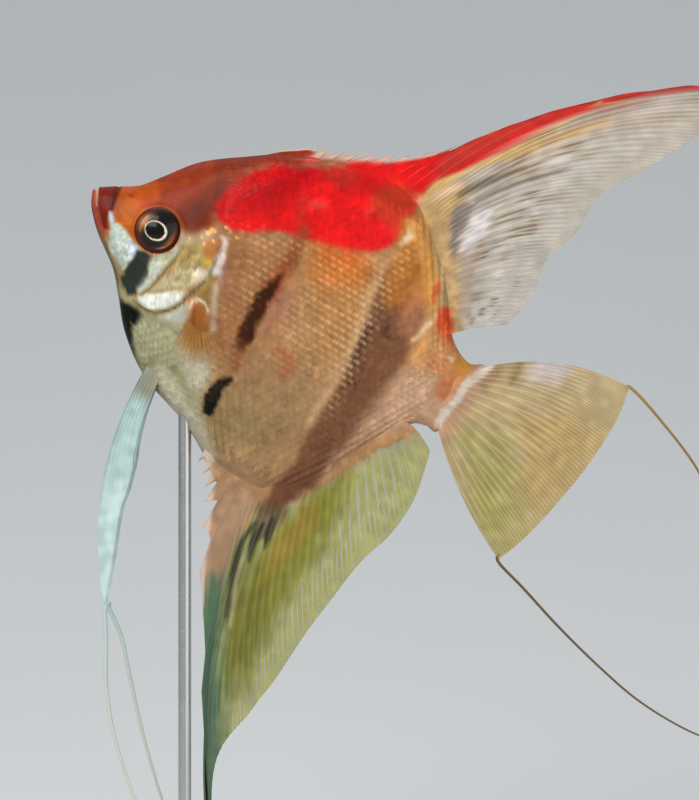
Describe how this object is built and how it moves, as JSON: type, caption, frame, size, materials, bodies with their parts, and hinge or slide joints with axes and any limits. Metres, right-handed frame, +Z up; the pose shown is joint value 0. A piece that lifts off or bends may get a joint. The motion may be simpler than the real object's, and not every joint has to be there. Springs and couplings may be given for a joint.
{
  "type": "freshwater angelfish",
  "caption": "Freshwater angelfish as a still, life-size model: tall flat body with a red back, long swept fins and trailing pelvic filaments, held nose up on a plain rod stand.",
  "frame": {"origin": "middle of the stand's underside, on the surface it stands on", "axes": "+Z up; the fish's snout points towards -X and up, and its left flank faces -Y"},
  "size_m": [0.1625, 0.062, 0.1643],
  "materials": {
    "lip_skin": "wet, smooth reddish brown skin",
    "head_skin": "wet, smooth skin, orange brown above and silver below",
    "cheek_skin": "wet, silvery skin with olive and gold",
    "flank_skin": "wet, scaled skin, red back over pearly tan with dark bars",
    "eye": "clear, wet cornea over a dark red iris and a pale pupil ring",
    "red_fin": "wet, thick red membrane with cream tips",
    "tan_fin": "wet, thick tan membrane",
    "clear_fin": "thin, translucent membrane on pale rays",
    "white_fin": "smooth, bluish white",
    "stand_wood": "satin black lacquer",
    "stand_steel": "polished"
  },
  "bodies": {
    "root": {"upper_jaw": "lip_skin", "lower_jaw": "lip_skin", "head": "head_skin", "gill_cover_left": "cheek_skin", "gill_cover_right": "cheek_skin", "eye_left": "eye", "eye_right": "eye", "trunk_front": "flank_skin", "trunk_rear": "flank_skin", "tail_stalk": "flank_skin", "dorsal_fin_spines": "red_fin", "dorsal_fin_rays": "clear_fin", "anal_fin_spines": "tan_fin", "anal_fin_rays": "clear_fin", "tail_fin": "clear_fin", "tail_streamer_upper": "clear_fin", "tail_streamer_lower": "clear_fin", "pelvic_fin_left": "white_fin", "pelvic_fin_right": "white_fin", "pelvic_filament_left": "white_fin", "pelvic_filament_right": "white_fin", "pectoral_fin_left": "clear_fin", "pectoral_fin_right": "clear_fin", "stand_base": "stand_wood", "stand_rod": "stand_steel"}
  },
  "joints": []
}
